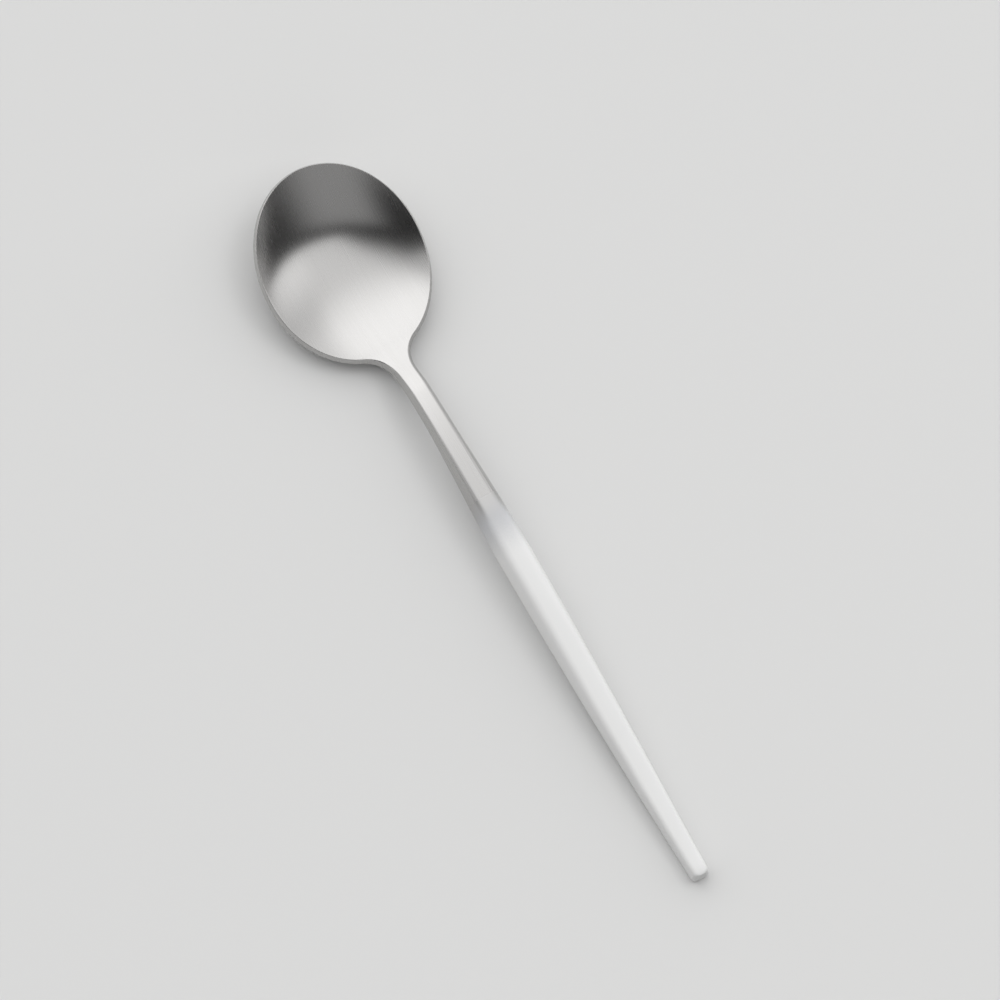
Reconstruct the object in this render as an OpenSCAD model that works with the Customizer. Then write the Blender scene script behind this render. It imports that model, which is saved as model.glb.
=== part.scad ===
// A slim teaspoon lying on a table: a satin steel bowl and neck, forged in one piece with a tang,
// and a thick white resin handle that is bonded over the tang.
// +X runs from the handle's end to the bowl's tip, +Z is up, and the table is Z = 0.
// Every size along the spoon is measured from the handle's end, unless it says otherwise.

/* [Overall] */
// Length from the handle's end to the bowl's tip
spoon_l = 135; // [125:1:145]

/* [Bowl] */
// Length of the hollow, from heel to tip
bowl_l = 33.2; // [29:0.1:38]
// Width of the hollow, between the rims
bowl_w = 28; // [23:0.1:31]
// Height of the rim above the table at the heel
heel_h = 4; // [3:0.1:5]
// Slope at which the rim still falls there towards the tip
heel_fall = 0.1; // [0:0.01:0.2]
// Height of the rim at the tip
tip_h = 10.4; // [8:0.1:12]
// Slope at which the rim climbs there
tip_climb = 0.08; // [0:0.01:0.2]
// Steel thickness at the bottom of the bowl
bowl_t = 1.2; // [0.8:0.05:1.8]
// How much rounder than a plain parabola the hollow is
bowl_fullness = 0.25; // [0:0.01:0.4]
// How far its deepest place leans from the middle of the bowl towards the heel
bowl_lean = 0.2; // [0:0.01:0.3]
// How gently the neck rolls into the hollow at the heel
heel_roll = 0.35; // [0.1:0.01:0.5]
// How far the rim's outer edge stands out from the hollow
rim_flank = 0.42; // [0.3:0.01:0.7]
// Height of the rim's outer edge
rim_t = 1.5; // [0.95:0.05:1.8]
// Height of the widest line above the rim's lower corner
rim_rise = 0.25; // [0.1:0.05:0.45]
// How far the underside starts in from that line
rim_tuck = 0.15; // [0:0.05:0.25]
// Corner roundings of the rim: top edge, outermost line, lower edge
rim_cuts = [0.18, 0.3, 0.15]; // [0.05:0.01:0.4]
// How far past the heel the neck's flanks run out into the rim
rim_run = 5; // [2:0.5:8]
// How far round the bowl, from its widest line towards the heel, the fillet to the neck starts
fillet_angle = 69; // [55:1:78]
// Length of that fillet along the neck, past the heel
fillet_l = 5.1; // [2:0.1:6.5]

/* [Neck] */
// Distance from the bowl's heel back to the narrowest place of the neck
neck_l = 8.5; // [7:0.1:14]
// Width of the neck's top face
neck_w = 2.78; // [2.2:0.02:3.6]
// How far the neck's flanks stand out from its top face
neck_flank = 0.78; // [0.3:0.02:1]
// Thickness of the neck
neck_t = 2.6; // [2.2:0.05:3.2]
// Height of the neck's top face above the table
neck_h = 7.4; // [6.5:0.05:9]
// Slope at which the neck's top face falls there towards the bowl
neck_fall = 0.13; // [0:0.01:0.25]
// Drop from the neck's top face to its widest line
neck_drop = 1.85; // [1.2:0.05:2.1]
// How far the underside's corner lies in from that line
neck_tuck = 0.45; // [0.2:0.05:0.7]
// Corner roundings of the neck: ridge, widest line, underside
neck_cuts = [0.35, 0.7, 0.3]; // [0.05:0.01:1]
// Crown of the neck's top face and swell of its underside
neck_swells = [0.1, 0.1]; // [0:0.01:0.3]

/* [Handle] */
// Length of the white handle
handle_l = 72; // [60:0.5:78]
// Place of the highest point of the top line
crest_s = 72; // [66:0.5:78]
// Height of the top line there
crest_h = 8.3; // [7:0.05:9.5]
// Place of the handle's thickest, widest section
belly_s = 61; // [50:0.5:66]
// Width of the top face there
belly_w = 3.9; // [3:0.02:4.4]
// How far the flanks stand out from the top face there
belly_flank = 1.22; // [0.8:0.02:1.6]
// Thickness there
belly_t = 4.6; // [4:0.05:5.2]
// Drop from the top face to the widest line there
belly_drop = 3.7; // [3:0.05:3.9]
// How far the underside's corner lies in from that line there
belly_tuck = 1; // [0.6:0.05:1.6]
// Corner roundings there: ridge, widest line, underside
belly_cuts = [1.05, 2, 0.6]; // [0.3:0.05:2.2]
// Crown of the top face and swell of the underside there
belly_swells = [0.12, 0.2]; // [0:0.01:0.4]
// Width of the top face at the handle's end
end_w = 2.5; // [1.7:0.02:2.8]
// How much the top face widens per millimetre from the handle's end
end_flare = 0.03; // [0:0.002:0.05]
// How far the flanks stand out at the handle's end
end_flank = 0.46; // [0.3:0.02:1.1]
// Thickness of the handle at its end, which lies on the table
end_h = 3.15; // [2.6:0.05:3.6]
// Slope of the top line at the handle's end
end_climb = 0.03; // [0:0.005:0.06]
// Height of the widest line above the table at the handle's end
end_widest_h = 0.45; // [0.3:0.05:1.55]
// How far the underside's corner lies in from that line at the handle's end
end_tuck = 0.5; // [0.3:0.05:0.9]
// Corner roundings at the handle's end: ridge, widest line, underside
end_cuts = [0.7, 1.3, 0.4]; // [0.1:0.05:1.5]
// Crown of the top face at the handle's end
end_crown = 0.08; // [0:0.01:0.2]
// Length of the flat under the handle's end
land_l = 10; // [4:0.5:16]
// Rounding of the handle's end, seen from above
end_corner_r = 0.75; // [0.4:0.05:0.9]
// Rounding of the top and bottom edges of the handle's end
end_edge_r = 0.2; // [0.15:0.05:0.6]
// How far the foot of the handle's end stands out past its top edge
end_lean = 0.4; // [0:0.05:0.6]

/* [Joint] */
// Thickness of the handle's front lip over the steel
lip_t = 0.15; // [0.1:0.01:0.3]
// Length of the tapered steel seat under the front of the handle
seat_l = 9; // [6:0.5:14]
// Length of the tang past that seat
tang_l = 39; // [28:1:44]
// Width of the tang at its root
tang_w = 2.6; // [2:0.05:3]
// Thickness of the tang at its root
tang_t = 2; // [1.4:0.05:2.3]
// Width of the tang at its end
tang_end_w = 1.7; // [1.2:0.05:2]
// Thickness of the tang at its end
tang_end_t = 1.4; // [1:0.05:1.6]
// Rounding of the tang's long edges
tang_r = 0.3; // [0.1:0.05:0.4]
// Thickness of the bond round the tang
bond_t = 0.12; // [0.06:0.01:0.2]
// Thickness of the bond past the tang's end
bond_end = 0.6; // [0.3:0.1:1.2]

/* [Hidden] */

// Points across the top face and the underside, and on each rounded corner of a section
across_top = 18;
across_under = 12;
on_corner = 4;
// Sections along the bowl's front and back halves, the fillet, the neck, the handle, its end and the seat
front_steps = 17;
back_steps = 14;
fillet_steps = 5;
neck_steps = 12;
handle_steps = 26;
end_steps = 4;
seat_steps = 4;
// Angle between the bowl's tip and the first section beside it
tip_angle = 5;

// Largest shares of a face and of a flank that the rounding of a corner may take, and the share of the
// upper flank that the rounding of the widest line may take
face_share = 0.6;
flank_share = 0.45;
widest_share = 0.55;

// Places of a section's values: half of its top face's width, the flank's reach, the drop to the widest
// line, the tuck of the underside's corner, the three corner cuts, the top's crown and the underside's swell
HALF = 0;
FLANK = 1;
DROP = 2;
TUCK = 3;
RIDGE_CUT = 4;
WIDEST_CUT = 5;
CORNER_CUT = 6;
CROWN = 7;
SWELL = 8;
end_section = concat([end_w / 2, end_flank, end_h - end_widest_h, end_tuck], end_cuts, [end_crown, 0]);
belly_section = concat([belly_w / 2, belly_flank, belly_drop, belly_tuck], belly_cuts, belly_swells);
neck_section = concat([neck_w / 2, neck_flank, neck_drop, neck_tuck], neck_cuts, neck_swells);
rim_section = concat([neck_w / 2, rim_flank, rim_t - rim_rise, rim_tuck], rim_cuts, [0, 0]);

// The rim's edge at the bowl's very tip, measured from the hollow's tip
bowl_a = bowl_l / 2;
bowl_b = bowl_w / 2;
tip_slope = tip_climb + 2 * (1 + bowl_fullness) * (1 - 2 * bowl_lean) * (tip_h - bowl_t) / bowl_a;
tip_section = changed(rim_section, HALF, 0);
tip_edge =
    let (under_s = rim_flank - rim_tuck)
    side_points(
        0, [1, 0], tip_section, 0, -rim_t,
        [-1, 0, -tip_slope], [under_s - 1, 0, -rim_t - tip_slope],
        rim_cuts[0], rim_cuts[2]
    );
rim_reach = max([for (p = tip_edge) p[0]]);

// Places along the spoon
hollow_tip_s = spoon_l - rim_reach;
bowl_s = hollow_tip_s - bowl_a;
heel_s = bowl_s - bowl_a;
rim_s = heel_s + rim_run;
neck_s = heel_s - neck_l;
fillet_end_s = heel_s - fillet_l;
seat_end_s = handle_l - seat_l;
tang_end_s = seat_end_s - tang_l;
socket_end_s = tang_end_s - bond_end;

steel_colour = "#b7babd";
resin_colour = "#ededeb";
epoxy_colour = "#d8c48f";

// A list with the value at one place changed
function changed(list, place, value) = [for (i = [0 : len(list) - 1]) i == place ? value : list[i]];

// Smooth curve between two stations, each [place, value, slope]
function eased(a, b, s) =
    let (d = b[0] - a[0], t = (s - a[0]) / d)
    (2 * t ^ 3 - 3 * t ^ 2 + 1) * a[1] + (t ^ 3 - 2 * t ^ 2 + t) * d * a[2]
    + (3 * t ^ 2 - 2 * t ^ 3) * b[1] + (t ^ 3 - t ^ 2) * d * b[2];

// Value at a place on the smooth curve through a list of stations
function along(stations, s, i = 0) =
    i == len(stations) - 2 || s <= stations[i + 1][0]
        ? eased(stations[i], stations[i + 1], s)
        : along(stations, s, i + 1);

// The ridge line along the top face and the rim
top_stations = [
    [0, end_h, end_climb],
    [crest_s, crest_h, 0],
    [neck_s, neck_h, -neck_fall],
    [heel_s, heel_h, -heel_fall],
    [hollow_tip_s, tip_h, tip_climb],
];
function top_z(s) = along(top_stations, s);
slope_step = 0.1;
belly_slope = (top_z(belly_s + slope_step) - top_z(belly_s - slope_step)) / (2 * slope_step);

// The corner line along the underside, flat on the table at the handle's end
under_stations = [
    [land_l, 0, 0],
    [belly_s, top_z(belly_s) - belly_t, belly_slope],
    [neck_s, neck_h - neck_t, -neck_fall],
    [heel_s, heel_h - rim_t, -heel_fall],
    [hollow_tip_s, tip_h - rim_t, tip_climb],
];
function under_z(s) = s <= land_l ? 0 : along(under_stations, s);

// The section's values at a place on the handle, the neck or the rim
steady = 0 * end_section;
end_change = changed(steady, HALF, end_flare);
section_stations = [
    [0, end_section, end_change],
    [belly_s, belly_section, steady],
    [neck_s, neck_section, steady],
    [rim_s, rim_section, steady],
];
function section_at(s) = s >= rim_s ? rim_section : along(section_stations, s);

function unit(v) = v / norm(v);
function blend(a, b, t) = a + (b - a) * t;

// Points on a rounded corner p between its neighbours a and b, with the lengths cut from its two lines
function rounded(a, p, b, cuts) =
    let (from = p + unit(a - p) * cuts[0], to = p + unit(b - p) * cuts[1])
    [for (i = [0 : on_corner]) let (t = i / on_corner) blend(blend(from, p, t), blend(p, to, t), t)];

// Place along the bowl, from -1 at its heel to 1 at its tip, moved so that 0 is its deepest place
function leant(xi) = xi + bowl_lean * (1 - xi ^ 2);

// Share of the bowl's depth along its middle: 1 at the bottom, 0 at the tip, rolling out over the heel
function dish_at(w) =
    let (q = 1 - w ^ 2, x = (q + heel_roll) / (2 * heel_roll))
    w > 0 || q >= heel_roll ? q : q <= -heel_roll ? 0 : 2 * heel_roll * (x ^ 3 - x ^ 4 / 2);

// Share of the bowl's depth across a section, with eta from -1 to 1 between the rims
function depth_share(xi, eta) =
    let (w = leant(xi))
    dish_at(w) * (1 - eta ^ 2) * (1 + bowl_fullness * min(1, w ^ 2 + (1 - w ^ 2) * eta ^ 2));

// One side of a section, from the ridge down to the underside, with n the way out from the ridge
function side_points(s, n, v, hi, lo, top_next, under_next, ridge_cut, corner_cut) =
    let (
        foot = v[FLANK] - v[TUCK],
        ridge = [s, v[HALF], hi],
        widest = ridge + [v[FLANK] * n[0], v[FLANK] * n[1], -v[DROP]],
        corner = [s + foot * n[0], v[HALF] + foot * n[1], lo],
        upper = norm(widest - ridge),
        lower = norm(corner - widest),
        at_ridge = min(ridge_cut, flank_share * upper),
        over_widest = min(v[WIDEST_CUT], widest_share * upper),
        below_widest = min(v[WIDEST_CUT], flank_share * lower),
        at_corner = min(corner_cut, flank_share * lower)
    )
    concat(
        rounded(top_next, ridge, widest, [at_ridge, at_ridge]),
        rounded(ridge, widest, corner, [over_widest, below_widest]),
        rounded(widest, corner, under_next, [at_corner, at_corner])
    );

// A closed ring of points: across the top, down the right side, back under, and up the left side
function ring(s, n, v, hi, lo, xi) =
    let (
        half = v[HALF],
        under_s = s + (v[FLANK] - v[TUCK]) * n[0],
        under_half = half + (v[FLANK] - v[TUCK]) * n[1],
        top = function(eta) hi + v[CROWN] * (1 - eta ^ 2) - depth_share(xi, eta) * (hi - bowl_t),
        under = function(eta) lo * (1 - depth_share(xi, eta)) - v[SWELL] * (1 - eta ^ 2),
        ridge_cut = min(v[RIDGE_CUT], face_share * half),
        corner_cut = min(v[CORNER_CUT], face_share * under_half),
        top_lim = 1 - ridge_cut / half,
        under_lim = 1 - corner_cut / under_half,
        right = side_points(
            s, n, v, hi, lo,
            [s, half * top_lim, top(top_lim)],
            [under_s, under_half * under_lim, under(under_lim)],
            ridge_cut, corner_cut
        )
    )
    concat(
        [for (i = [1 : across_top - 1])
            let (eta = top_lim * (2 * i / across_top - 1)) [s, half * eta, top(eta)]],
        right,
        [for (i = [1 : across_under - 1])
            let (eta = under_lim * (1 - 2 * i / across_under)) [under_s, under_half * eta, under(eta)]],
        [for (i = [len(right) - 1 : -1 : 0]) [right[i][0], -right[i][1], right[i][2]]]
    );

// A ring of the spoon's outer surface at a place behind the bowl's fillet, drawn in by an inset from
// its flanks and another from its top and underside, with its widest line at the same height.
// Its underside swells only where it is clear of the table, and stays below the widest line.
function outer_ring(s, inset = 0, edge_inset = 0) =
    let (
        v = section_at(s),
        hi = top_z(s),
        lo = under_z(s),
        under_inset = min(edge_inset, flank_share * (hi - v[DROP] - lo)),
        drawn_in = changed(changed(v, HALF, v[HALF] - inset), DROP, v[DROP] - edge_inset),
        grounded = changed(drawn_in, SWELL, min(v[SWELL], lo))
    )
    ring(s, [0, 1], grounded, hi - edge_inset, lo + under_inset, (s - bowl_s) / bowl_a);

// A ring of the handle's end, tipped over from its foot
function leaning(points) =
    let (foot_z = min([for (p = points) p[2]]))
    [for (p = points) p + [end_lean * (p[2] - foot_z) / end_h, 0, 0]];

// A ring on the bowl, at an angle from its tip
function bowl_ring(angle) =
    let (
        s = bowl_s + bowl_a * cos(angle),
        n = unit([bowl_b * cos(angle), bowl_a * sin(angle)]),
        v = changed(section_at(s), HALF, bowl_b * sin(angle))
    )
    ring(s, n, v, top_z(s), under_z(s), cos(angle));

// A ring on the fillet between the bowl's rim and the neck, with t from 0 at the rim to 1 at the neck
rim_end_angle = 90 + fillet_angle;
rim_end = [bowl_s + bowl_a * cos(rim_end_angle), bowl_b * sin(rim_end_angle)];
fillet_end = [fillet_end_s, neck_w / 2];
fillet_turn = [
    rim_end[0] + bowl_a * sin(rim_end_angle) / (bowl_b * cos(rim_end_angle)) * (rim_end[1] - fillet_end[1]),
    fillet_end[1],
];
function fillet_ring(t) =
    let (
        first = blend(rim_end, fillet_turn, t),
        second = blend(fillet_turn, fillet_end, t),
        place = blend(first, second, t),
        run = unit(second - first),
        v = changed(section_at(place[0]), HALF, place[1])
    )
    ring(place[0], [run[1], -run[0]], v, top_z(place[0]), under_z(place[0]), (place[0] - bowl_s) / bowl_a);

// The tang is straight, from the middle of the section at its root to the middle of the one at its end,
// and it lies too far behind the bowl to be hollowed
far_behind = -2;
function middle_z(s) = (top_z(s) + under_z(s)) / 2;
function tang_ring(s, gap = 0) =
    let (
        t = (seat_end_s - s) / tang_l,
        half_w = blend(tang_w, tang_end_w, t) / 2 + gap,
        half_t = blend(tang_t, tang_end_t, t) / 2 + gap,
        z = blend(middle_z(seat_end_s), middle_z(tang_end_s), t),
        cut = tang_r + gap
    )
    ring(s, [0, 1], [half_w, 0, half_t, 0, cut, cut, cut, 0, 0], z + half_t, z - half_t, far_behind);

// The seat's rings, from under the handle's lip down to the size of the bonded tang
seat_start = outer_ring(handle_l, lip_t, lip_t);
seat_end = tang_ring(seat_end_s, bond_t);
seat_rings = [for (i = [0 : seat_steps]) blend(seat_start, seat_end, i / seat_steps)];

// Numbers of points on one side, the top, the underside and a whole ring
side_count = 3 * (on_corner + 1);
top_count = across_top - 1;
under_count = across_under - 1;
ring_count = top_count + under_count + 2 * side_count;

function flat(lists) = [for (l = lists) each l];
function reversed(faces) = [for (f = faces) [for (i = [len(f) - 1 : -1 : 0]) f[i]]];

// Two triangles between neighbouring points of each ring and the next one
function skin(count) = [
    for (i = [0 : count - 2], j = [0 : ring_count - 1])
        let (
            a = i * ring_count + j,
            b = i * ring_count + (j + 1) % ring_count,
            c = b + ring_count,
            d = a + ring_count
        )
        each [[a, c, b], [a, d, c]]
];

// A fan of triangles from the middle of a flat ring
function fan(first, middle) = [
    for (j = [0 : ring_count - 1]) [first + j, first + (j + 1) % ring_count, middle]
];
function middle_of(points) = [for (p = points) 1] * points / len(points);

// The column of edge points at the bowl's very tip, and the faces that close the first ring onto it
tip_column = [for (p = tip_edge) p + [hollow_tip_s, 0, tip_h]];
function tip_faces(column) =
    let (
        last = ring_count - 1,
        low_right = top_count + side_count - 1,
        low_left = low_right + under_count + 1
    )
    concat(
        [[column, last, 0]],
        [for (j = [0 : top_count - 1]) [column, j, j + 1]],
        [for (k = [0 : side_count - 2]) each [
            [top_count + k, top_count + k + 1, column + k + 1],
            [top_count + k, column + k + 1, column + k],
            [last - k, column + k + 1, last - k - 1],
            [last - k, column + k, column + k + 1],
        ]],
        [for (j = [low_right : low_left - 1]) [column + side_count - 1, j, j + 1]]
    );

// A closed solid of rings between two flat ends
module lofted(rings, inward = false) {
    last = len(rings) - 1;
    points = concat(flat(rings), [middle_of(rings[0]), middle_of(rings[last])]);
    ends = concat(
        fan(0, len(points) - 2),
        reversed(fan(last * ring_count, len(points) - 1))
    );
    faces = concat(ends, skin(len(rings)));
    polyhedron(points, inward ? reversed(faces) : faces, convexity = 6);
}

module steel_spoon() {
    front = [for (i = [0 : front_steps]) bowl_ring(blend(tip_angle, 90, i / front_steps))];
    back = [for (i = [1 : back_steps]) bowl_ring(blend(90, rim_end_angle, i / back_steps))];
    fillet = [for (i = [1 : fillet_steps]) fillet_ring(i / fillet_steps)];
    neck = [for (i = [1 : neck_steps]) outer_ring(blend(fillet_end_s, handle_l, i / neck_steps))];
    tang = [tang_ring(seat_end_s), tang_ring(tang_end_s)];
    rings = concat(front, back, fillet, neck, seat_rings, tang);
    column = len(rings) * ring_count;
    points = concat(flat(rings), tip_column, [middle_of(tang[1])]);
    tang_end = reversed(fan(column - ring_count, len(points) - 1));
    color(steel_colour) translate([-spoon_l / 2, 0, 0])
        polyhedron(points, concat(tip_faces(column), skin(len(rings)), tang_end), convexity = 6);
}

module resin_handle() {
    end = [
        for (i = [end_steps : -1 : 1])
            let (
                turn = 90 * i / end_steps,
                shrink = 1 - cos(turn)
            )
            leaning(outer_ring(end_corner_r * (1 - sin(turn)), end_corner_r * shrink, end_edge_r * shrink))
    ];
    body_s = end_corner_r + end_lean;
    body = [for (i = [0 : handle_steps]) outer_ring(blend(body_s, handle_l, i / handle_steps))];
    socket_floor = tang_ring(socket_end_s, bond_t);
    color(resin_colour) translate([-spoon_l / 2, 0, 0])
        lofted(concat(end, body, seat_rings, [socket_floor]), inward = true);
}

module epoxy_bond() {
    inside = [tang_ring(tang_end_s), tang_ring(seat_end_s)];
    outside = [tang_ring(seat_end_s, bond_t), tang_ring(socket_end_s, bond_t)];
    color(epoxy_colour) translate([-spoon_l / 2, 0, 0])
        lofted(concat(inside, outside));
}

steel_spoon();
resin_handle();
epoxy_bond();
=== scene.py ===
"""A slim teaspoon on a pale floor: a satin steel bowl and neck, and a white matt handle over the tang.

Lengths are in metres. +X runs from the handle's end to the bowl's tip, and +Z is up. A place along the
spoon is measured from the handle's end.
"""

import logging
import math
from collections.abc import Sequence
from dataclasses import astuple, dataclass, replace
from enum import Enum
from functools import cached_property, partial, reduce
from itertools import pairwise

import bmesh
import bpy
from mathutils import Matrix, Vector


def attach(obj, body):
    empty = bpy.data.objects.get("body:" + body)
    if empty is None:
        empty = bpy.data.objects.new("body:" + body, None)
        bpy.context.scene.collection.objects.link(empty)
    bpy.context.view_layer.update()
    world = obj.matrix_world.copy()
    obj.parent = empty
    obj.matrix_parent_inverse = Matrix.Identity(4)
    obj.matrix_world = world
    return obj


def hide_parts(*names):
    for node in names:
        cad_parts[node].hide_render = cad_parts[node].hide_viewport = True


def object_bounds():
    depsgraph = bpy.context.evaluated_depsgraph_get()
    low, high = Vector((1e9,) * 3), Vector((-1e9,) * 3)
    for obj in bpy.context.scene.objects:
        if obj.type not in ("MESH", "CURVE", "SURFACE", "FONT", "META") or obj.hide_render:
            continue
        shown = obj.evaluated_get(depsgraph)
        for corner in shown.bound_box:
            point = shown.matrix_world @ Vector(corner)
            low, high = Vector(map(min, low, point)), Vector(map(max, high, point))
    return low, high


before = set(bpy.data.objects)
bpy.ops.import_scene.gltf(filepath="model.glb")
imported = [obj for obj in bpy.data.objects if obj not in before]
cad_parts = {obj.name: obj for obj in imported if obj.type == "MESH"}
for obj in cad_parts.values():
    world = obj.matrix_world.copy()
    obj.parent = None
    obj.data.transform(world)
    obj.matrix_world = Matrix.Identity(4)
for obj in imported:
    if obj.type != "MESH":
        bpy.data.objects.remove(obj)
cad_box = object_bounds()

log = logging.getLogger("teaspoon")

MM = 0.001
WELD = 1e-7
SHARP_EDGE = math.radians(35)
STEEP_FACE = 0.5
BRUSH_MAP = "brush_direction"
FINE_BRUSH = (70.0, 6500.0, 350.0)
FINE_LAYERS = 3.0
SOFT_LAYERS = 2.0
NOISE_RANGE = (0.3, 0.7)
UNIT = (0.0, 1.0)

Number = float | bpy.types.NodeSocket
Range = tuple[Number, Number]
Colour = tuple[float, float, float]


class Slot(Enum):
    """Material slots of the part's record."""

    STEEL = "steel"
    RESIN = "resin"
    EPOXY = "epoxy"


class Spread(Enum):
    """How a ramp of the surroundings' light changes from one end to the other."""

    EVEN = "LINEAR"
    SMOOTH = "SMOOTHSTEP"


def mixed(a: Vector, b: Vector, share: float) -> Vector:
    """Point on the way from a to b, at that share of it."""
    return a.lerp(b, share)


def rounded(
    before: Vector, corner: Vector, after: Vector, cuts: tuple[float, float], steps: int
) -> list[Vector]:
    """Points on a rounded corner.

    Args:
        before: Neighbour that the line comes from.
        corner: The sharp corner.
        after: Neighbour that the line goes to.
        cuts: Lengths that the rounding takes off the two lines.
        steps: Number of stretches on the rounding.

    Returns:
        The points, from the first line to the second.
    """
    start = corner + (before - corner).normalized() * cuts[0]
    stop = corner + (after - corner).normalized() * cuts[1]
    shares = [i / steps for i in range(steps + 1)]
    return [mixed(mixed(start, corner, t), mixed(corner, stop, t), t) for t in shares]


@dataclass(frozen=True)
class Station:
    """A place along the spoon, with a line's value and slope there."""

    place: float
    value: float
    slope: float = 0.0


@dataclass(frozen=True)
class SmoothLine:
    """A smooth line through stations."""

    stations: tuple[Station, ...]

    def at(self, place: float) -> float:
        """Value of the line at a place along the spoon."""
        spans = list(pairwise(self.stations))
        a, b = next((span for span in spans if place <= span[1].place), spans[-1])
        run = b.place - a.place
        t = (place - a.place) / run
        ends = (2 * t**3 - 3 * t**2 + 1) * a.value + (3 * t**2 - 2 * t**3) * b.value
        return ends + ((t**3 - 2 * t**2 + t) * a.slope + (t**3 - t**2) * b.slope) * run


@dataclass(frozen=True)
class Section:
    """One half of a cross-section: a top face, a flank that leans out and a tucked-in underside."""

    half: float
    flank: float
    drop: float
    tuck: float
    ridge_cut: float
    widest_cut: float
    corner_cut: float
    crown: float = 0.0
    swell: float = 0.0


@dataclass(frozen=True)
class Detail:
    """How finely the visible meshes follow the form."""

    across_top: int = 80
    across_under: int = 48
    on_corner: int = 10
    front: int = 52
    back: int = 44
    fillet: int = 16
    neck: int = 40
    handle: int = 72
    end: int = 10
    seat: int = 8


@dataclass
class SpoonForm:
    """Outer form of the whole spoon, which the steel and the handle share."""

    length: float
    bowl_length: float = 33.2 * MM
    bowl_width: float = 28.0 * MM
    heel_height: float = 4.0 * MM
    heel_fall: float = 0.1
    tip_height: float = 10.4 * MM
    tip_climb: float = 0.08
    bowl_thickness: float = 1.2 * MM
    bowl_fullness: float = 0.25
    bowl_lean: float = 0.2
    heel_roll: float = 0.35
    rim_thickness: float = 1.5 * MM
    rim_run: float = 5.0 * MM
    rim: Section = Section(
        half=1.39 * MM,
        flank=0.42 * MM,
        drop=1.25 * MM,
        tuck=0.15 * MM,
        ridge_cut=0.18 * MM,
        widest_cut=0.3 * MM,
        corner_cut=0.15 * MM,
    )
    fillet_angle: float = math.radians(69)
    fillet_length: float = 5.1 * MM
    neck_length: float = 8.5 * MM
    neck_thickness: float = 2.6 * MM
    neck_height: float = 7.4 * MM
    neck_fall: float = 0.13
    neck: Section = Section(
        half=1.39 * MM,
        flank=0.78 * MM,
        drop=1.85 * MM,
        tuck=0.45 * MM,
        ridge_cut=0.35 * MM,
        widest_cut=0.7 * MM,
        corner_cut=0.3 * MM,
        crown=0.1 * MM,
        swell=0.1 * MM,
    )
    crest_place: float = 72.0 * MM
    crest_height: float = 8.3 * MM
    belly_place: float = 61.0 * MM
    belly_thickness: float = 4.6 * MM
    belly: Section = Section(
        half=1.95 * MM,
        flank=1.22 * MM,
        drop=3.7 * MM,
        tuck=1.0 * MM,
        ridge_cut=1.05 * MM,
        widest_cut=2.0 * MM,
        corner_cut=0.6 * MM,
        crown=0.12 * MM,
        swell=0.2 * MM,
    )
    end_height: float = 3.15 * MM
    end_climb: float = 0.03
    end_flare: float = 0.03
    end: Section = Section(
        half=1.25 * MM,
        flank=0.46 * MM,
        drop=2.7 * MM,
        tuck=0.5 * MM,
        ridge_cut=0.7 * MM,
        widest_cut=1.3 * MM,
        corner_cut=0.4 * MM,
        crown=0.08 * MM,
    )
    land_length: float = 10.0 * MM
    face_share: float = 0.6
    flank_share: float = 0.45
    widest_share: float = 0.55
    slope_step: float = 0.1 * MM
    detail: Detail = Detail()

    @property
    def bowl_a(self) -> float:
        """Half of the hollow's length."""
        return self.bowl_length / 2

    @property
    def bowl_b(self) -> float:
        """Half of the hollow's width."""
        return self.bowl_width / 2

    @cached_property
    def tip_edge(self) -> list[Vector]:
        """The rim's edge at the bowl's very tip, measured from the hollow's tip."""
        steepness = 2 * (1 + self.bowl_fullness) * (1 - 2 * self.bowl_lean) / self.bowl_a
        slope = self.tip_climb + steepness * (self.tip_height - self.bowl_thickness)
        foot = self.rim.flank - self.rim.tuck
        inner = Vector((-1, 0, -slope))
        under = Vector((foot - 1, 0, -self.rim_thickness - slope))
        return self.side(0, (1, 0), replace(self.rim, half=0), 0, -self.rim_thickness, inner, under)

    @cached_property
    def hollow_tip(self) -> float:
        """Place of the hollow's tip."""
        return self.length - max(p.x for p in self.tip_edge)

    @property
    def bowl_middle(self) -> float:
        """Place half way along the hollow."""
        return self.hollow_tip - self.bowl_a

    @property
    def heel(self) -> float:
        """Place of the hollow's heel."""
        return self.bowl_middle - self.bowl_a

    @property
    def neck_place(self) -> float:
        """Place of the neck's narrowest section."""
        return self.heel - self.neck_length

    @property
    def rim_place(self) -> float:
        """Place where the neck's section has run out into the rim's."""
        return self.heel + self.rim_run

    @property
    def fillet_end(self) -> float:
        """Place where the bowl's fillet meets the neck."""
        return self.heel - self.fillet_length

    @cached_property
    def top_line(self) -> SmoothLine:
        """Height of the ridge along the top face and the rim."""
        return SmoothLine((
            Station(0, self.end_height, self.end_climb),
            Station(self.crest_place, self.crest_height),
            Station(self.neck_place, self.neck_height, -self.neck_fall),
            Station(self.heel, self.heel_height, -self.heel_fall),
            Station(self.hollow_tip, self.tip_height, self.tip_climb),
        ))

    @cached_property
    def under_line(self) -> SmoothLine:
        """Height of the corner along the underside, past the flat under the handle's end."""
        step = self.slope_step
        belly_slope = (self.top(self.belly_place + step) - self.top(self.belly_place - step)) / (2 * step)
        return SmoothLine((
            Station(self.land_length, 0),
            Station(self.belly_place, self.top(self.belly_place) - self.belly_thickness, belly_slope),
            Station(self.neck_place, self.neck_height - self.neck_thickness, -self.neck_fall),
            Station(self.heel, self.heel_height - self.rim_thickness, -self.heel_fall),
            Station(self.hollow_tip, self.tip_height - self.rim_thickness, self.tip_climb),
        ))

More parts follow.
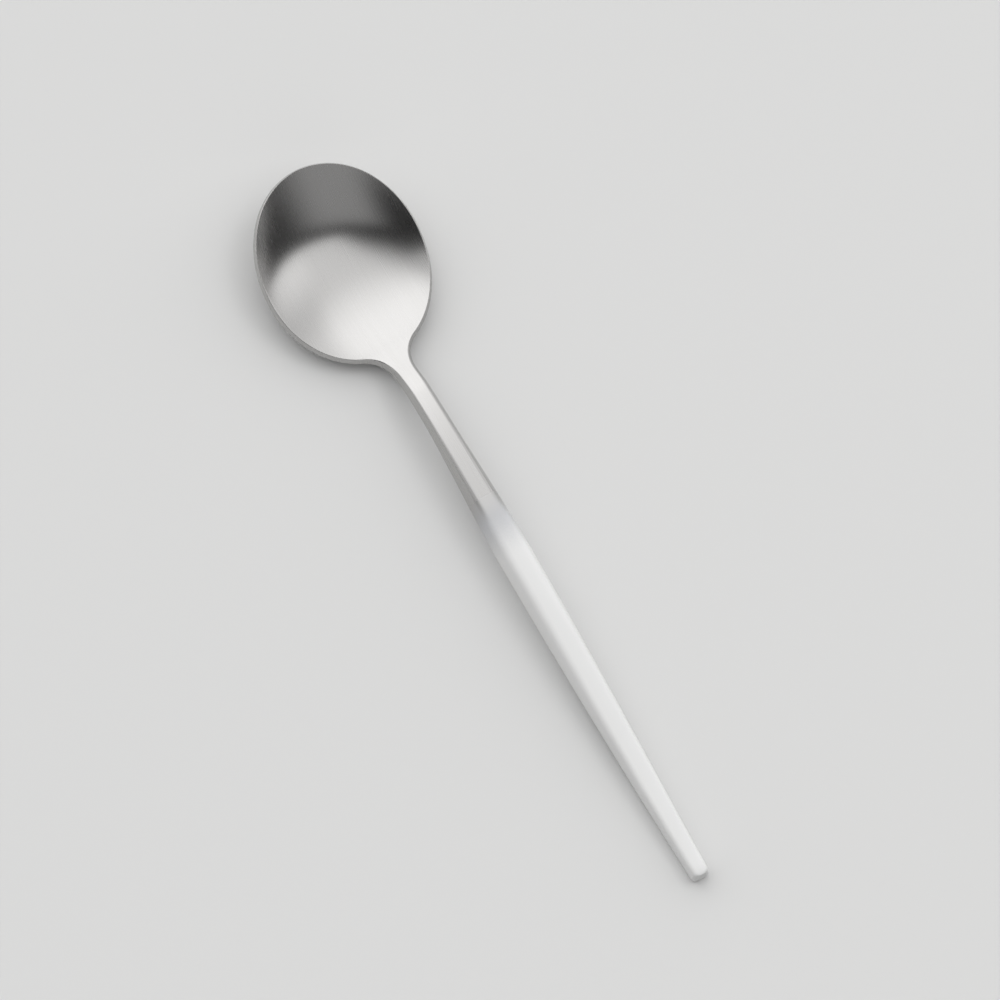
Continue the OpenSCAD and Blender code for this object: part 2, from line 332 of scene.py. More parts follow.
    @cached_property
    def section_lines(self) -> list[SmoothLine]:
        """One smooth line for each value of a section, from the handle's end to the rim."""
        places = (0, self.belly_place, self.neck_place, self.rim_place)
        sections = (self.end, self.belly, self.neck, self.rim)
        flares = replace(Section(*(0.0 for _ in astuple(self.end))), half=self.end_flare)
        lines = []
        for values, flare in zip(zip(*map(astuple, sections)), astuple(flares)):
            slopes = (flare, 0, 0, 0)
            lines.append(SmoothLine(tuple(map(Station, places, values, slopes))))
        return lines

    def top(self, place: float) -> float:
        """Height of the ridge at a place."""
        return self.top_line.at(place)

    def under(self, place: float) -> float:
        """Height of the underside's corner at a place."""
        return 0.0 if place <= self.land_length else self.under_line.at(place)

    def middle(self, place: float) -> float:
        """Height half way between the ridge and the underside's corner."""
        return (self.top(place) + self.under(place)) / 2

    def section(self, place: float) -> Section:
        """The cross-section at a place on the handle, the neck or the rim."""
        if place >= self.rim_place:
            return self.rim
        return Section(*(line.at(place) for line in self.section_lines))

    def dish(self, leant: float) -> float:
        """Share of the bowl's depth along its middle line.

        Args:
            leant: Place in the hollow, from -1 at the heel over 0 at the deepest place to 1 at the tip.

        Returns:
            1 at the bottom and 0 at the tip, rolling out over the heel.
        """
        q = 1 - leant**2
        roll = self.heel_roll
        if leant > 0 or q >= roll:
            return q
        x = max(0.0, (q + roll) / (2 * roll))
        return 2 * roll * (x**3 - x**4 / 2)

    def depth_share(self, xi: float, eta: float) -> float:
        """Share of the bowl's depth at a place along and across the hollow, both from -1 to 1."""
        leant = xi + self.bowl_lean * (1 - xi**2)
        round_out = min(1.0, leant**2 + (1 - leant**2) * eta**2)
        return self.dish(leant) * (1 - eta**2) * (1 + self.bowl_fullness * round_out)

    def side(
        self,
        place: float,
        out: tuple[float, float],
        section: Section,
        high: float,
        low: float,
        inner: Vector,
        under: Vector,
    ) -> list[Vector]:
        """One side of a section, from its ridge down to its underside.

        Args:
            place: Place of the ridge along the spoon.
            out: Direction out from the ridge, along and across the spoon.
            section: The section's sizes.
            high: Height of the ridge.
            low: Height of the underside's corner.
            inner: Point that the top face comes from.
            under: Point that the underside goes on to.

        Returns:
            The points of the three rounded corners.
        """
        foot = section.flank - section.tuck
        ridge = Vector((place, section.half, high))
        widest = ridge + Vector((section.flank * out[0], section.flank * out[1], -section.drop))
        corner = Vector((place + foot * out[0], section.half + foot * out[1], low))
        upper = (widest - ridge).length
        lower = (corner - widest).length
        at_ridge = min(section.ridge_cut, self.flank_share * upper)
        over_widest = min(section.widest_cut, self.widest_share * upper)
        below_widest = min(section.widest_cut, self.flank_share * lower)
        at_corner = min(section.corner_cut, self.flank_share * lower)
        steps = self.detail.on_corner
        return [
            *rounded(inner, ridge, widest, (at_ridge, at_ridge), steps),
            *rounded(ridge, widest, corner, (over_widest, below_widest), steps),
            *rounded(widest, corner, under, (at_corner, at_corner), steps),
        ]

    def ring(
        self,
        place: float,
        out: tuple[float, float],
        section: Section,
        high: float,
        low: float,
        xi: float,
    ) -> list[Vector]:
        """A closed ring: across the top, down the right side, back under and up the left side.

        Args:
            place: Place of the ridge along the spoon.
            out: Direction out from the ridge, along and across the spoon.
            section: The section's sizes.
            high: Height of the ridge.
            low: Height of the underside's corner.
            xi: Place in the hollow, from -1 at the heel to 1 at the tip, or outside it.

        Returns:
            The ring's points.
        """
        half = section.half
        under_place = place + (section.flank - section.tuck) * out[0]
        under_half = half + (section.flank - section.tuck) * out[1]
        ridge_cut = min(section.ridge_cut, self.face_share * half)
        corner_cut = min(section.corner_cut, self.face_share * under_half)

        def over(share: float) -> Vector:
            """Point of the top face at a share of its half width."""
            sunk = self.depth_share(xi, share) * (high - self.bowl_thickness)
            return Vector((place, half * share, high + section.crown * (1 - share**2) - sunk))

        def below(share: float) -> Vector:
            """Point of the underside at a share of its half width."""
            height = low * (1 - self.depth_share(xi, share)) - section.swell * (1 - share**2)
            return Vector((under_place, under_half * share, height))

        top_end = 1 - ridge_cut / half
        under_end = 1 - corner_cut / under_half
        cut = replace(section, ridge_cut=ridge_cut, corner_cut=corner_cut)
        right = self.side(place, out, cut, high, low, over(top_end), below(under_end))
        left = [Vector((p.x, -p.y, p.z)) for p in reversed(right)]
        tops, unders = self.detail.across_top, self.detail.across_under
        return [
            *(over(top_end * (2 * i / tops - 1)) for i in range(1, tops)),
            *right,
            *(below(under_end * (1 - 2 * i / unders)) for i in range(1, unders)),
            *left,
        ]

    def outer_ring(self, place: float, inset: float = 0.0, edge_inset: float = 0.0) -> list[Vector]:
        """A ring of the outer surface behind the bowl's fillet.

        Args:
            place: Place along the spoon.
            inset: How far the flanks are drawn in.
            edge_inset: How far the top and the underside are drawn in to the widest line. The underside
                stays below that line.

        Returns:
            The ring's points.
        """
        section = self.section(place)
        high, low = self.top(place), self.under(place)
        under_inset = min(edge_inset, self.flank_share * (high - section.drop - low))
        swell = min(section.swell, low)
        drawn_in = replace(
            section, half=section.half - inset, drop=section.drop - edge_inset, swell=swell
        )
        xi = (place - self.bowl_middle) / self.bowl_a
        return self.ring(place, (0, 1), drawn_in, high - edge_inset, low + under_inset, xi)

    def bowl_ring(self, angle: float) -> list[Vector]:
        """A ring across the bowl, at an angle from its tip."""
        place = self.bowl_middle + self.bowl_a * math.cos(angle)
        out = Vector((self.bowl_b * math.cos(angle), self.bowl_a * math.sin(angle))).normalized()
        section = replace(self.section(place), half=self.bowl_b * math.sin(angle))
        return self.ring(place, tuple(out), section, self.top(place), self.under(place), math.cos(angle))

    def fillet_ring(self, share: float) -> list[Vector]:
        """A ring on the fillet, at a share of the way from the bowl's rim to the neck."""
        angle = math.pi / 2 + self.fillet_angle
        rim_end = Vector((
            self.bowl_middle + self.bowl_a * math.cos(angle), self.bowl_b * math.sin(angle)
        ))
        neck_end = Vector((self.fillet_end, self.neck.half))
        lean = self.bowl_a * math.sin(angle) / (self.bowl_b * math.cos(angle))
        turn = Vector((rim_end.x + lean * (rim_end.y - neck_end.y), neck_end.y))
        first = mixed(rim_end, turn, share)
        second = mixed(turn, neck_end, share)
        spot = mixed(first, second, share)
        run = (second - first).normalized()
        section = replace(self.section(spot.x), half=spot.y)
        xi = (spot.x - self.bowl_middle) / self.bowl_a
        return self.ring(spot.x, (run.y, -run.x), section, self.top(spot.x), self.under(spot.x), xi)

    def tip_ring(self) -> list[Vector]:
        """The ring that closes the bowl at its very tip: its two sides fall on one line."""
        shift = Vector((self.hollow_tip, 0, self.tip_height))
        line = [p + shift for p in self.tip_edge]
        tops = [line[0]] * (self.detail.across_top - 1)
        unders = [line[-1]] * (self.detail.across_under - 1)
        return [*tops, *line, *unders, *reversed(line)]


@dataclass
class Joint:
    """The tapered seat and the tang that hold the handle on the steel."""

    form: SpoonForm
    handle_length: float = 72.0 * MM
    lip: float = 0.15 * MM
    seat_length: float = 9.0 * MM
    tang_length: float = 39.0 * MM
    tang_width: float = 2.6 * MM
    tang_thickness: float = 2.0 * MM
    tang_end_width: float = 1.7 * MM
    tang_end_thickness: float = 1.4 * MM
    tang_rounding: float = 0.3 * MM
    bond: float = 0.12 * MM
    bond_at_end: float = 0.6 * MM
    far_behind_bowl: float = -2.0

    @property
    def seat_end(self) -> float:
        """Place where the seat ends and the tang starts."""
        return self.handle_length - self.seat_length

    @property
    def tang_end(self) -> float:
        """Place of the tang's end."""
        return self.seat_end - self.tang_length

    @property
    def socket_end(self) -> float:
        """Place of the socket's floor in the handle."""
        return self.tang_end - self.bond_at_end

    def tang_ring(self, place: float, gap: float = 0.0) -> list[Vector]:
        """A ring round the tang.

        Args:
            place: Place along the spoon.
            gap: Distance of the ring from the tang's surface.

        Returns:
            The ring's points.
        """
        t = (self.seat_end - place) / self.tang_length
        half_width = (self.tang_width + (self.tang_end_width - self.tang_width) * t) / 2 + gap
        thinning = self.tang_end_thickness - self.tang_thickness
        half_thickness = (self.tang_thickness + thinning * t) / 2 + gap
        root, tip = self.form.middle(self.seat_end), self.form.middle(self.tang_end)
        height = root + (tip - root) * t
        cut = self.tang_rounding + gap
        section = Section(half_width, 0, half_thickness, 0, cut, cut, cut)
        high, low = height + half_thickness, height - half_thickness
        return self.form.ring(place, (0, 1), section, high, low, self.far_behind_bowl)

    def seat_rings(self) -> list[list[Vector]]:
        """Rings of the seat, from under the handle's lip down to the size of the bonded tang."""
        start = self.form.outer_ring(self.handle_length, self.lip, self.lip)
        stop = self.tang_ring(self.seat_end, self.bond)
        steps = self.form.detail.seat
        shares = [i / steps for i in range(steps + 1)]
        return [[mixed(a, b, t) for a, b in zip(start, stop)] for t in shares]


class Loft:
    """A skin that the extrude operator grows from ring to ring."""

    def __init__(self, origin: Vector, first: Sequence[Vector]) -> None:
        """Starts the skin.

        Args:
            origin: The part's origin, in the rings' own measure.
            first: Points of the first ring.
        """
        self.origin = origin
        self.mesh = bmesh.new()
        self.ring = bmesh.ops.create_circle(self.mesh, segments=len(first), radius=MM)["verts"]
        self._place(first)

    def _place(self, points: Sequence[Vector]) -> None:
        """Puts the open ring on its points."""
        for vert, point in zip(self.ring, points, strict=True):
            vert.co = point - self.origin

    def _edges(self) -> list[bmesh.types.BMEdge]:
        """Edges of the open ring."""
        closed = [*self.ring, self.ring[0]]
        return [self.mesh.edges.get(pair) for pair in pairwise(closed)]

    def grow(self, points: Sequence[Vector]) -> None:
        """Extrudes the open ring onto the points of the next one."""
        grown = bmesh.ops.extrude_edge_only(self.mesh, edges=self._edges())["geom"]
        fresh = {item for item in grown if isinstance(item, bmesh.types.BMVert)}
        self.ring = [
            next(e.other_vert(vert) for e in vert.link_edges if e.other_vert(vert) in fresh)
            for vert in self.ring
        ]
        self._place(points)

    def close(self) -> None:
        """Fills the open ring with a fan of faces round its middle."""
        filled = bmesh.ops.edgeloop_fill(self.mesh, edges=self._edges())
        bmesh.ops.poke(self.mesh, faces=filled["faces"])

    def _map_brush(self) -> None:
        """Lays a UV map whose first axis runs along the spoon, the way the steel is brushed."""
        layer = self.mesh.loops.layers.uv.new(BRUSH_MAP)
        for face in self.mesh.faces:
            steep = abs(face.normal.z) < STEEP_FACE
            for loop in face.loops:
                spot = loop.vert.co
                loop[layer].uv = (spot.x, spot.z if steep else spot.y)

    def finished(self, name: str) -> bpy.types.Object:
        """Welds and smooths the skin and makes it an object.

        Args:
            name: The object's name.

        Returns:
            The object, at the origin, with its place in its mesh.
        """
        bmesh.ops.remove_doubles(self.mesh, verts=self.mesh.verts, dist=WELD)
        bmesh.ops.recalc_face_normals(self.mesh, faces=self.mesh.faces)
        for face in self.mesh.faces:
            face.smooth = True
        for edge in self.mesh.edges:
            edge.smooth = edge.calc_face_angle(0.0) < SHARP_EDGE
        self._map_brush()
        data = bpy.data.meshes.new(name)
        self.mesh.to_mesh(data)
        self.mesh.free()
        piece = bpy.data.objects.new(name, data)
        bpy.context.scene.collection.objects.link(piece)
        return piece


class NodeBench:
    """A material's node tree, with short calls to lay nodes and join them."""

    def __init__(self, tree: bpy.types.NodeTree) -> None:
        """Empties a node tree to work on it.

        Args:
            tree: The node tree.
        """
        self.tree = tree
        self.tree.nodes.clear()

    def add(self, kind: str, inputs: dict | None = None, **settings) -> bpy.types.Node:
        """Lays one node.

        Args:
            kind: The node's type name.
            inputs: Values or output sockets for its inputs, by the input's name or number.
            settings: Attributes of the node itself.

        Returns:
            The node.
        """
        node = self.tree.nodes.new(kind)
        for name, value in settings.items():
            setattr(node, name, value)
        for name, value in (inputs or {}).items():
            if isinstance(value, bpy.types.NodeSocket):
                self.tree.links.new(value, node.inputs[name])
            else:
                node.inputs[name].default_value = value
        return node

    def object_place(self) -> bpy.types.NodeSocket:
        """Output socket of the object's own coordinates."""
        return self.add("ShaderNodeTexCoord").outputs["Object"]

    def noise(
        self, place: bpy.types.NodeSocket, scale: tuple[float, float, float], detail: float
    ) -> bpy.types.NodeSocket:
        """Noise that is stretched along the axes.

        Args:
            place: Output socket of the coordinates.
            scale: Number of features in a metre along each axis.
            detail: Number of finer layers.

        Returns:
            Output socket of the noise, from 0 to 1.
        """
        mapping = self.add("ShaderNodeMapping", {"Vector": place, "Scale": scale})
        inputs = {"Vector": mapping.outputs["Vector"], "Scale": 1.0, "Detail": detail}
        return self.add("ShaderNodeTexNoise", inputs).outputs["Fac"]

    def ranged(
        self,
        value: bpy.types.NodeSocket,
        source: Range,
        target: Range,
        spread: Spread = Spread.EVEN,
    ) -> bpy.types.NodeSocket:
        """A value carried from one range to another.

        Args:
            value: Output socket of the value.
            source: Range of the value, as numbers or output sockets.
            target: Range of the result, as numbers or output sockets.
            spread: How the result changes between its ends.

        Returns:
            Output socket of the result.
        """
        inputs = {
            "Value": value,
            "From Min": source[0],
            "From Max": source[1],
            "To Min": target[0],
            "To Max": target[1],
        }
        return self.add("ShaderNodeMapRange", inputs, interpolation_type=spread.value).outputs["Result"]

    def combined(self, operation: str, first: Number, second: Number) -> bpy.types.NodeSocket:
        """Output socket of a sum, difference or product of two values."""
        return self.add("ShaderNodeMath", {0: first, 1: second}, operation=operation).outputs["Value"]

    def product(self, first: Number, *others: Number) -> bpy.types.NodeSocket:
        """Output socket of the product of two or more values."""
        return reduce(partial(self.combined, "MULTIPLY"), others, first)

    def tint(
        self,
        share: bpy.types.NodeSocket,
        first: Colour | bpy.types.NodeSocket,
        second: Colour | bpy.types.NodeSocket,
    ) -> bpy.types.NodeSocket:
        """A mix of two colours.

        Args:
            share: Output socket of the second colour's share.
            first: First colour, or its output socket.
            second: Second colour, or its output socket.

        Returns:
            Output socket of the mixed colour.
        """
        node = self.add("ShaderNodeMix", data_type="RGBA")
        ends = (c if isinstance(c, bpy.types.NodeSocket) else (*c, 1.0) for c in (first, second))
        for name, value in zip(("Factor_Float", "A_Color", "B_Color"), (share, *ends)):
            socket = next(s for s in node.inputs if s.identifier == name)
            if isinstance(value, bpy.types.NodeSocket):
                self.tree.links.new(value, socket)
            else:
                socket.default_value = value
        return next(s for s in node.outputs if s.identifier == "Result_Color")

    def bump(self, height: bpy.types.NodeSocket, depth: float, strength: float) -> bpy.types.NodeSocket:
        """Output socket of a normal that follows a height of that depth."""
        inputs = {"Height": height, "Distance": depth, "Strength": strength}
        return self.add("ShaderNodeBump", inputs).outputs["Normal"]

    def surface(self, inputs: dict) -> None:
        """Lays the shader and the output.

        Args:
            inputs: Values or output sockets for the shader's inputs.
        """
        shader = self.add("ShaderNodeBsdfPrincipled", inputs)
        self.add("ShaderNodeOutputMaterial", {"Surface": shader.outputs["BSDF"]})


def new_material(name: str) -> tuple[bpy.types.Material, NodeBench]:
    """A new material, and its emptied node tree to work on."""
    material = bpy.data.materials.new(name)
    material.use_nodes = True
    return material, NodeBench(material.node_tree)


@dataclass(frozen=True)
class BrushedSteel:
    """Satin steel, brushed along the spoon."""

    dark: Colour = (0.476, 0.47, 0.463)
    bright: Colour = (0.484, 0.478, 0.472)
    roughness: tuple[float, float] = (0.266, 0.276)
    anisotropy: float = 0.5
    across_the_brush: float = 0.25
    fine_lines: tuple[float, float, float] = FINE_BRUSH
    broad_lines: tuple[float, float, float] = (40.0, 2400.0, 200.0)
    line_depth: float = 0.002 * MM
    line_strength: float = 0.008

    def material(self) -> bpy.types.Material:
        """The finish as a material."""
        material, bench = new_material("brushed_steel")
        place = bench.object_place()
        fine = bench.noise(place, self.fine_lines, FINE_LAYERS)
        broad = bench.noise(place, self.broad_lines, SOFT_LAYERS)
        colour = bench.tint(bench.ranged(broad, NOISE_RANGE, UNIT), self.dark, self.bright)
        tangent = bench.add("ShaderNodeTangent", direction_type="UV_MAP", uv_map=BRUSH_MAP)
        bench.surface({
            "Base Color": colour,
            "Metallic": 1.0,
            "Roughness": bench.ranged(fine, NOISE_RANGE, self.roughness),
            "Anisotropic": self.anisotropy,
            "Anisotropic Rotation": self.across_the_brush,
            "Tangent": tangent.outputs["Tangent"],
            "Normal": bench.bump(fine, self.line_depth, self.line_strength),
        })
        return material


@dataclass(frozen=True)
class WhiteResin:
    """Matt white resin that thins out over the steel at its front lip."""

    thinning: tuple[float, float]
    baring: tuple[float, float]
    white: Colour = (0.75, 0.75, 0.746)
    clouded: Colour = (0.74, 0.74, 0.736)
    thin: Colour = (0.505, 0.51, 0.525)
    steel: Colour = (0.476, 0.472, 0.468)
    roughness: float = 0.5
    thin_roughness: float = 0.34
    specular: float = 0.35
    clouds: tuple[float, float, float] = (90.0, 260.0, 260.0)
    grain: tuple[float, float, float] = (4200.0, 4200.0, 4200.0)
    speckle: tuple[float, float, float] = (4000.0, 5000.0, 5000.0)
    speckle_reach: float = 0.4 * MM
    grain_depth: float = 0.004 * MM
    grain_strength: float = 0.18
    brush_lines: tuple[float, float, float] = FINE_BRUSH
    brush_share: float = 0.025

    def material(self) -> bpy.types.Material:
        """The finish as a material."""
        material, bench = new_material("white_resin")
        place = bench.object_place()
        along = bench.add("ShaderNodeSeparateXYZ", {"Vector": place}).outputs["X"]
        speckle = bench.noise(place, self.speckle, SOFT_LAYERS)
        jitter = bench.ranged(speckle, NOISE_RANGE, (-self.speckle_reach, self.speckle_reach))
        uneven = bench.combined("ADD", along, jitter)
        thinning = bench.ranged(uneven, self.thinning, UNIT, Spread.SMOOTH)
        baring = bench.ranged(uneven, self.baring, UNIT, Spread.SMOOTH)
        grain = bench.noise(place, self.grain, SOFT_LAYERS)
        brushed = bench.product(bench.noise(place, self.brush_lines, FINE_LAYERS), self.brush_share)
        relief = bench.ranged(baring, UNIT, (grain, brushed))
        clouds = bench.noise(place, self.clouds, SOFT_LAYERS)
        body = bench.tint(bench.ranged(clouds, NOISE_RANGE, UNIT), self.white, self.clouded)
        thinned = bench.tint(thinning, body, self.thin)
        bench.surface({
            "Base Color": bench.tint(baring, thinned, self.steel),
            "Metallic": baring,
            "Roughness": bench.ranged(baring, UNIT, (self.roughness, self.thin_roughness)),
            "Specular IOR Level": self.specular,
            "Normal": bench.bump(relief, self.grain_depth, self.grain_strength),
        })
        return material


@dataclass(frozen=True)
class AmberEpoxy:
    """Clear amber adhesive, hidden between the tang and the handle."""

    pale: Colour = (0.76, 0.64, 0.4)
    deep: Colour = (0.66, 0.53, 0.29)
    roughness: float = 0.2
    clouds: tuple[float, float, float] = (300.0, 900.0, 900.0)
    cloud_depth: float = 0.01 * MM
    cloud_strength: float = 0.2

    def material(self) -> bpy.types.Material:
        """The finish as a material."""
        material, bench = new_material("amber_epoxy")
        clouds = bench.noise(bench.object_place(), self.clouds, SOFT_LAYERS)
        bench.surface({
            "Base Color": bench.tint(clouds, self.pale, self.deep),
            "Roughness": self.roughness,
            "Normal": bench.bump(clouds, self.cloud_depth, self.cloud_strength),
        })
        return material


@dataclass
class SteelSpoon:
    """Bowl, neck, seat and tang, forged in one piece."""

    form: SpoonForm
    joint: Joint
    finish: BrushedSteel = BrushedSteel()
    tip_angle: float = math.radians(2)

    def rings(self) -> list[list[Vector]]:
        """All rings, from the bowl's tip to the tang's end."""
        form, joint, detail = self.form, self.joint, self.form.detail
        quarter = math.pi / 2
        front_turn = (quarter - self.tip_angle) / detail.front
        front = [form.bowl_ring(self.tip_angle + front_turn * i) for i in range(detail.front + 1)]
        back_turn = form.fillet_angle / detail.back
        back = [form.bowl_ring(quarter + back_turn * i) for i in range(1, detail.back + 1)]
        fillet = [form.fillet_ring(i / detail.fillet) for i in range(1, detail.fillet + 1)]
        step = (joint.handle_length - form.fillet_end) / detail.neck
        neck = [form.outer_ring(form.fillet_end + step * i) for i in range(1, detail.neck + 1)]
        tang = [joint.tang_ring(joint.seat_end), joint.tang_ring(joint.tang_end)]
        return [form.tip_ring(), *front, *back, *fillet, *neck, *joint.seat_rings(), *tang]

    def build(self) -> bpy.types.Object:
        """Makes the steel as one closed mesh."""
        first, *others = self.rings()
        loft = Loft(Vector((self.form.length / 2, 0, 0)), first)
        for ring in others:
            loft.grow(ring)
        loft.close()
        return loft.finished("bowl_neck_and_tang")

    def dress(self, piece: bpy.types.Object) -> None:
        """Gives the steel its finish and its place in the part."""
        piece.data.materials.append(self.finish.material())
        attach(piece, "root")
        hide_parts("steel_spoon")


@dataclass
class ResinHandle:
    """The white handle, with its blind socket."""

    form: SpoonForm
    joint: Joint
    end_rounding: float = 0.75 * MM
    end_edge: float = 0.2 * MM
    end_lean: float = 0.4 * MM
    thinning: tuple[float, float] = (60.5 * MM, 69.0 * MM)
    baring: tuple[float, float] = (67.0 * MM, 71.8 * MM)

    def leaning(self, ring: Sequence[Vector]) -> list[Vector]:
        """A ring of the handle's end, tipped over from its foot."""
        foot = min(p.z for p in ring)
        lean = self.end_lean / self.form.end_height
        return [p + Vector((lean * (p.z - foot), 0, 0)) for p in ring]

    def rings(self) -> list[list[Vector]]:
        """All rings, from the middle of the handle's end round the lip to the socket's floor."""
        form, joint, detail = self.form, self.joint, self.form.detail
        end = []
        for i in range(detail.end, 0, -1):
            turn = math.pi / 2 * i / detail.end
            shrink = 1 - math.cos(turn)
            place = self.end_rounding * (1 - math.sin(turn))
            ring = form.outer_ring(place, self.end_rounding * shrink, self.end_edge * shrink)
            end.append(self.leaning(ring))
        body_start = self.end_rounding + self.end_lean
        step = (joint.handle_length - body_start) / detail.handle
        body = [form.outer_ring(body_start + step * i) for i in range(detail.handle + 1)]
        floor = joint.tang_ring(joint.socket_end, joint.bond)
        return [*end, *body, *joint.seat_rings(), floor]

    def build(self) -> bpy.types.Object:
        """Makes the handle as one closed mesh."""
        first, *others = self.rings()
        loft = Loft(Vector((self.form.length / 2, 0, 0)), first)
        loft.close()
        for ring in others:
            loft.grow(ring)
        loft.close()
        return loft.finished("white_handle")

    def dress(self, piece: bpy.types.Object) -> None:
        """Gives the handle its finish and its place in the part."""
        middle = self.form.length / 2
        thinning, baring = ((a - middle, b - middle) for a, b in (self.thinning, self.baring))
        finish = WhiteResin(thinning, baring)
        piece.data.materials.append(finish.material())
        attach(piece, "root")
        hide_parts("resin_handle")


@dataclass
class EpoxyBond:
    """The layer of adhesive round the tang, kept as the part has it."""

    node: bpy.types.Object
    finish: AmberEpoxy = AmberEpoxy()

    def dress(self) -> None:
        """Gives the adhesive its finish."""
        self.node.data.materials.clear()
        self.node.data.materials.append(self.finish.material())


@dataclass(frozen=True)
class Softbox:
    """A soft lamp that doesn't mirror in the steel."""

    name: str
    place: tuple[float, float, float]
    aim: tuple[float, float, float]
    size: float
    glow: float

    def hang(self) -> None:
        """Hangs the lamp, turned to its aim."""
        lamp = bpy.data.lights.new(self.name, "AREA")
        lamp.shape = "SQUARE"
        lamp.size = self.size
        lamp.energy = self.glow * math.pi * self.size**2
        holder = bpy.data.objects.new(self.name, lamp)
        holder.location = self.place
        beam = Vector(self.aim) - Vector(self.place)
        holder.rotation_euler = beam.to_track_quat("-Z", "Y").to_euler()
        holder.visible_camera = False
        holder.visible_glossy = False
        bpy.context.scene.collection.objects.link(holder)


@dataclass(frozen=True)
class Surroundings:
    """A white diffusing tent over one half of the table, open to a dim room, with a dark drape on one side.

    Every pair is a range of directions, or the two values at its ends.
    """

    tent_side: tuple[float, float, float] = (1.0, -0.37, 0.78)
    edge_place: float = 0.165
    edge_turn: tuple[float, float] = (-0.02, 0.33)
    edge_width: tuple[float, float] = (0.055, 0.675)
    tent_along: tuple[float, float] = (0.08, 0.45)
    tent_level: tuple[float, float] = (1.16, 1.83)
    tent_right: tuple[float, float] = (-0.47, -0.76)
    right_along: tuple[float, float] = (-0.3, 0.35)
    right_share: tuple[float, float] = (1.24, 0.65)
    room_depth: tuple[float, float] = (-0.13, -0.33)
    room_level: tuple[float, float] = (0.0, 0.44)
    room_right: tuple[float, float] = (0.0, -0.7)
    room_right_share: tuple[float, float] = (1.0, 0.09)
    drape_left: tuple[float, float] = (0.55, 0.82)
    drape_along: tuple[float, float] = (0.02, 0.14)
    drape_level: tuple[float, float] = (0.005, 0.85)
    drape_height: tuple[float, float] = (0.0, 0.2)
    drape_foot_level: float = 0.17

    def world(self) -> bpy.types.World:
        """The surroundings as a world."""
        world = bpy.data.worlds.new("studio")
        world.use_nodes = True
        bench = NodeBench(world.node_tree)
        heading = bench.add("ShaderNodeTexCoord").outputs["Generated"]
        axes = bench.add("ShaderNodeSeparateXYZ", {"Vector": heading}).outputs
        along, across, height = axes["X"], axes["Y"], axes["Z"]
        inputs = {0: heading, 1: self.tent_side}
        facing = bench.add("ShaderNodeVectorMath", inputs, operation="DOT_PRODUCT").outputs["Value"]
        width = bench.ranged(across, self.edge_turn, self.edge_width, Spread.SMOOTH)
        past_edge = bench.combined("SUBTRACT", facing, self.edge_place)
        inside = bench.ranged(past_edge, (0.0, width), UNIT, Spread.SMOOTH)
        right = bench.ranged(along, self.right_along, self.right_share, Spread.SMOOTH)
        tent = bench.product(
            bench.ranged(along, self.tent_along, self.tent_level, Spread.SMOOTH),
            bench.ranged(across, self.tent_right, (1.0, right), Spread.SMOOTH),
        )
        room = bench.product(
            bench.ranged(past_edge, self.room_depth, self.room_level, Spread.SMOOTH),
            bench.ranged(across, self.room_right, self.room_right_share, Spread.SMOOTH),
        )
        open_level = bench.ranged(inside, UNIT, (room, tent))
        drape_top = bench.ranged(along, self.drape_along, self.drape_level, Spread.SMOOTH)
        drape = bench.ranged(height, self.drape_height, (self.drape_foot_level, drape_top), Spread.SMOOTH)
        level = bench.ranged(across, self.drape_left, (open_level, drape), Spread.SMOOTH)
        sky = bench.add("ShaderNodeBackground", {"Color": (1.0, 1.0, 1.0, 1.0), "Strength": level})
        bench.add("ShaderNodeOutputWorld", {"Surface": sky.outputs["Background"]})
        return world


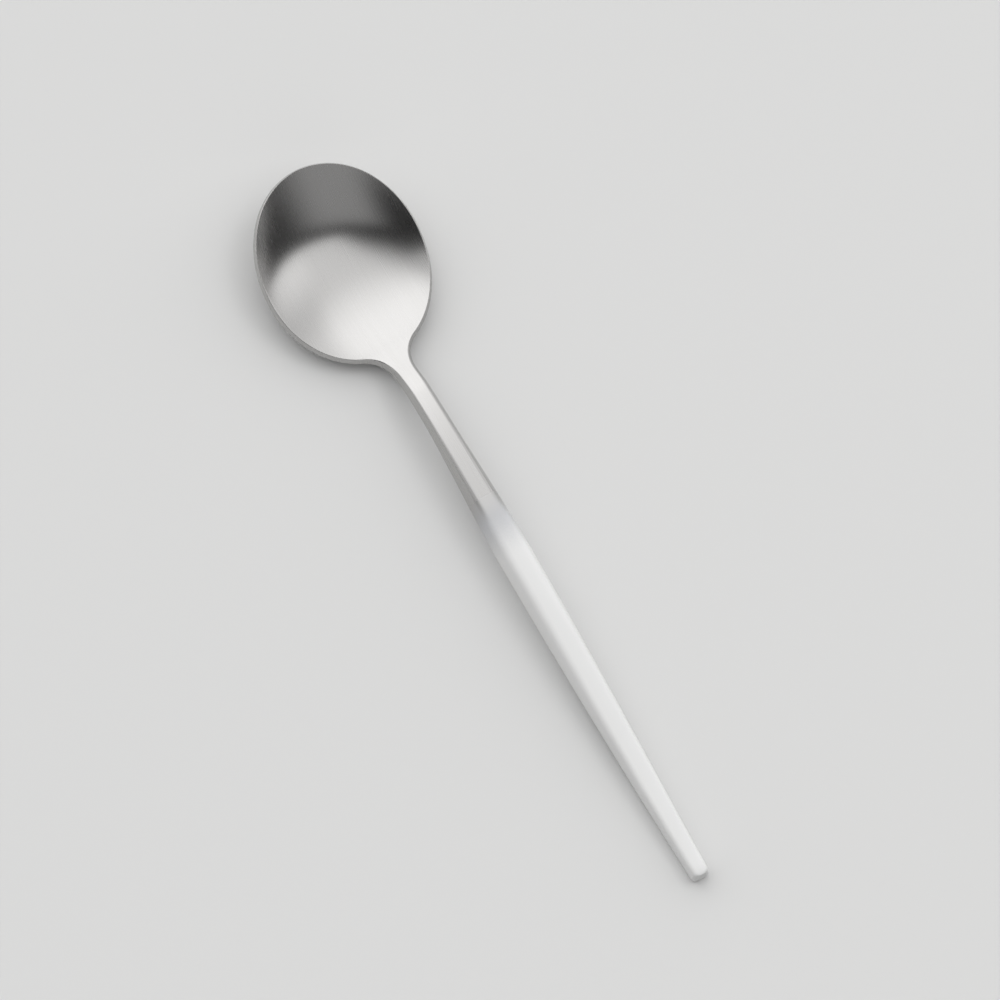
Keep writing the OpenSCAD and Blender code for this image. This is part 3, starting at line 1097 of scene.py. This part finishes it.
@dataclass
class Studio:
    """The pale floor, the soft light and the camera."""

    floor_size: float = 6.0
    floor_depth: float = 0.02
    floor_colour: Colour = (0.645, 0.645, 0.641)
    floor_roughness: float = 0.9
    surroundings: Surroundings = Surroundings()
    lamps: tuple[Softbox, ...] = (
        Softbox("key_softbox", (0.15, -0.75, 1.4), (0.0, 0.0, 0.0), 0.5, 3.0),
    )
    view_from: tuple[float, float, float] = (-0.14, 0.2, 1.0)
    view_distance: float = 1.2
    view_roll: float = math.radians(-119.2)
    view_slide: tuple[float, float] = (0.00106, 0.00496)
    lens: float = 260.4
    sensor: float = 36.0

    def lay_floor(self) -> None:
        """Lays the floor, a slab whose top is the table."""
        mesh = bmesh.new()
        bmesh.ops.create_cube(mesh, size=1.0)
        bmesh.ops.scale(mesh, vec=(self.floor_size, self.floor_size, self.floor_depth), verts=mesh.verts)
        bmesh.ops.translate(mesh, vec=(0, 0, -self.floor_depth / 2), verts=mesh.verts)
        data = bpy.data.meshes.new("floor")
        mesh.to_mesh(data)
        mesh.free()
        floor = bpy.data.objects.new("floor", data)
        bpy.context.scene.collection.objects.link(floor)
        material, bench = new_material("pale_floor")
        bench.surface({
            "Base Color": (*self.floor_colour, 1.0),
            "Roughness": self.floor_roughness,
        })
        data.materials.append(material)

    def light(self) -> None:
        """Hangs the lamps and sets the surroundings."""
        for lamp in self.lamps:
            lamp.hang()
        bpy.context.scene.world = self.surroundings.world()

    def aim_camera(self) -> None:
        """Sets the camera at the photograph's viewing angle."""
        back = Vector(self.view_from).normalized()
        level = (-back).cross(Vector((0, 1, 0))).normalized()
        upright = level.cross(-back)
        right = level * math.cos(self.view_roll) + upright * math.sin(self.view_roll)
        up = upright * math.cos(self.view_roll) - level * math.sin(self.view_roll)
        place = back * self.view_distance + right * self.view_slide[0] + up * self.view_slide[1]
        data = bpy.data.cameras.new("camera")
        data.lens = self.lens
        data.sensor_width = self.sensor
        camera = bpy.data.objects.new("camera", data)
        turn = Matrix((right, up, back)).transposed().to_4x4()
        camera.matrix_world = Matrix.Translation(place) @ turn
        bpy.context.scene.collection.objects.link(camera)
        bpy.context.scene.camera = camera

    def build(self) -> None:
        """Sets up the floor, the light, the camera and the plain view transform."""
        self.lay_floor()
        self.light()
        self.aim_camera()
        bpy.context.scene.view_settings.view_transform = "Standard"


def main() -> None:
    """Builds the spoon's pieces in order, sets up the studio and reports each piece."""
    logging.basicConfig(level=logging.INFO, format="%(name)s: %(message)s")
    low, high = cad_box
    form = SpoonForm(length=high[0] - low[0])
    joint = Joint(form)
    for assembly in (SteelSpoon(form, joint), ResinHandle(form, joint)):
        piece = assembly.build()
        assembly.dress(piece)
        log.info("%s: %d faces", piece.name, len(piece.data.polygons))
    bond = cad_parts["epoxy_bond"]
    EpoxyBond(bond).dress()
    log.info("%s: kept as it is, with its own finish", bond.name)
    Studio().build()


if __name__ == "__main__":
    main()
